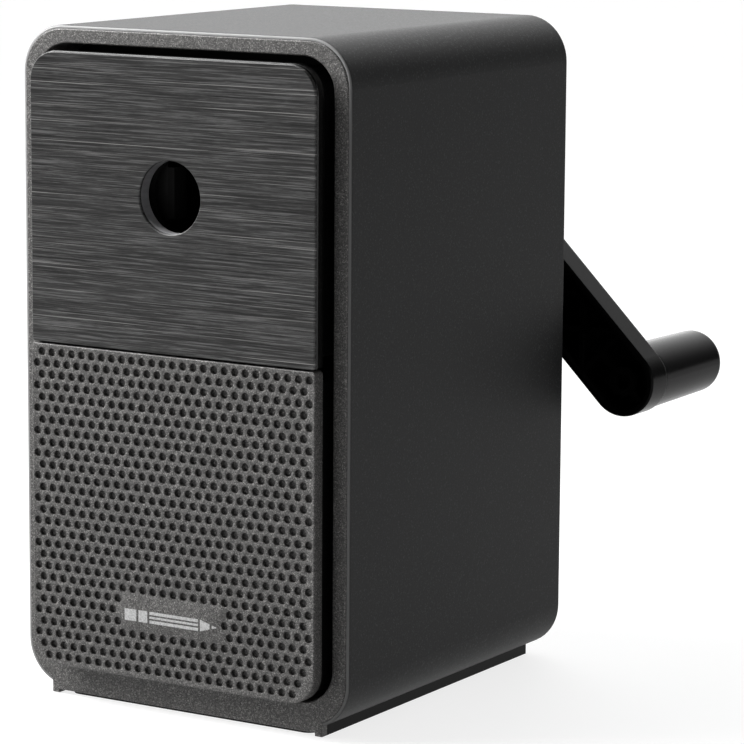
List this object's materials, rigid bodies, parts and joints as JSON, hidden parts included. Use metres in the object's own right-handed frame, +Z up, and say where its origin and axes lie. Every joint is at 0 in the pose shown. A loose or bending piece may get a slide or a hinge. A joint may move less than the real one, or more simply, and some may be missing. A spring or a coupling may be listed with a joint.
{
  "type": "crank pencil sharpener",
  "caption": "Tall box-shaped desk pencil sharpener with a rear hand crank, a pull-out spring-fed pencil carriage, a helical cutter and a front shavings drawer.",
  "frame": {"origin": "on the resting face, under the middle of the body", "axes": "+Z up, -Y out of the front (the pencil hole side), +X to the right of someone facing the front"},
  "size_m": [0.078, 0.1157, 0.1152],
  "materials": {
    "sleeve_black": "dark matt skin with a fine texture",
    "sparkle_grey": "grey paint with fine metallic sparkle",
    "brushed_dark": "dark brushed sheet, grain running across",
    "gloss_black": "gloss black moulding",
    "satin_black": "satin black moulding",
    "collar_dark": "dark polished ring",
    "frame_black": "plain black moulding",
    "acetal_white": "off-white low-friction plastic",
    "die_cast": "die-cast, as cast",
    "steel": "ground steel",
    "cutter_steel": "hardened and ground cutter steel",
    "zinc_steel": "zinc-plated screws",
    "spring_steel": "drawn spring wire",
    "bronze": "sintered bronze",
    "rubber_black": "soft black rubber"
  },
  "bodies": {
    "housing": {"outer_sleeve": "sleeve_black", "front_bezel": "sparkle_grey", "rear_cover": "satin_black", "rear_bush": "bronze", "cover_screws": "zinc_steel", "base_plate": "satin_black", "anti_slip_pad": "rubber_black", "base_screws": "zinc_steel", "chassis": "frame_black", "rear_posts": "zinc_steel", "rod_bushes": "acetal_white", "pencil_funnel": "frame_black", "gear_cap": "acetal_white", "journal_bush": "bronze", "gear_cap_screws": "zinc_steel", "rod_springs": "spring_steel"},
    "carriage": {"brushed_plate": "brushed_dark", "carriage_frame": "gloss_black", "hole_collar": "collar_dark", "hole_guide": "gloss_black", "clamp_box": "frame_black", "cover_posts": "zinc_steel", "clamp_cover": "frame_black", "clamp_cover_screws": "zinc_steel", "clamp_pins": "steel", "clamp_spring": "spring_steel", "guide_rods": "steel", "rod_clips": "spring_steel"},
    "clamp_left": {"clamp_lever_left": "frame_black", "jaw_pad_left": "rubber_black"},
    "clamp_right": {"clamp_lever_right": "frame_black", "jaw_pad_right": "rubber_black"},
    "drawer": {"drawer_front": "sparkle_grey", "drawer_bin": "frame_black", "drawer_screws": "zinc_steel"},
    "crank": {"cutter_carrier": "die_cast", "cutter_axle": "steel", "drive_shaft": "steel", "crank_arm": "satin_black", "crank_screw": "zinc_steel", "knob_pin": "satin_black"},
    "cutter": {"helical_cutter": "cutter_steel", "cutter_pinion": "acetal_white"},
    "knob": {"crank_knob": "satin_black", "knob_cap": "satin_black"}
  },
  "joints": [
    {"name": "carriage_slide", "type": "slide", "parent": "housing", "child": "carriage", "axis": [0, -1, 0], "range_m": [0, 0.026], "stiffness_N_per_m": 150, "springref_m": -0.015, "deforming": ["rod_springs"]},
    {"name": "clamp_left_pivot", "type": "hinge", "parent": "carriage", "child": "clamp_left", "pos_m": [-0.013, -0.0321, 0.099], "axis": [0, 1, 0], "range_deg": [0, 12], "stiffness_Nm_per_rad": 0.01, "springref_deg": -20.05, "deforming": ["clamp_spring"]},
    {"name": "clamp_right_pivot", "type": "hinge", "parent": "carriage", "child": "clamp_right", "pos_m": [0.013, -0.0321, 0.099], "axis": [0, -1, 0], "range_deg": [0, 12], "stiffness_Nm_per_rad": 0.01, "springref_deg": -20.05},
    {"name": "drawer_slide", "type": "slide", "parent": "housing", "child": "drawer", "axis": [0, -1, 0], "range_m": [0, 0.055]},
    {"name": "crank_turn", "type": "hinge", "parent": "housing", "child": "crank", "pos_m": [0, 0.03, 0.0881], "axis": [0, 1, 0], "continuous": true},
    {"name": "cutter_spin", "type": "hinge", "parent": "crank", "child": "cutter", "pos_m": [0, 0.04473, 0.0881], "axis": [0, 0.9833, -0.1822], "continuous": true},
    {"name": "knob_spin", "type": "hinge", "parent": "crank", "child": "knob", "pos_m": [0.03889, 0.06, 0.04921], "axis": [0, 1, 0], "continuous": true}
  ],
  "couplings": [
    {"joint": "clamp_right_pivot", "follows": "clamp_left_pivot", "ratio": 1},
    {"joint": "cutter_spin", "follows": "crank_turn", "ratio": -2.1667}
  ]
}
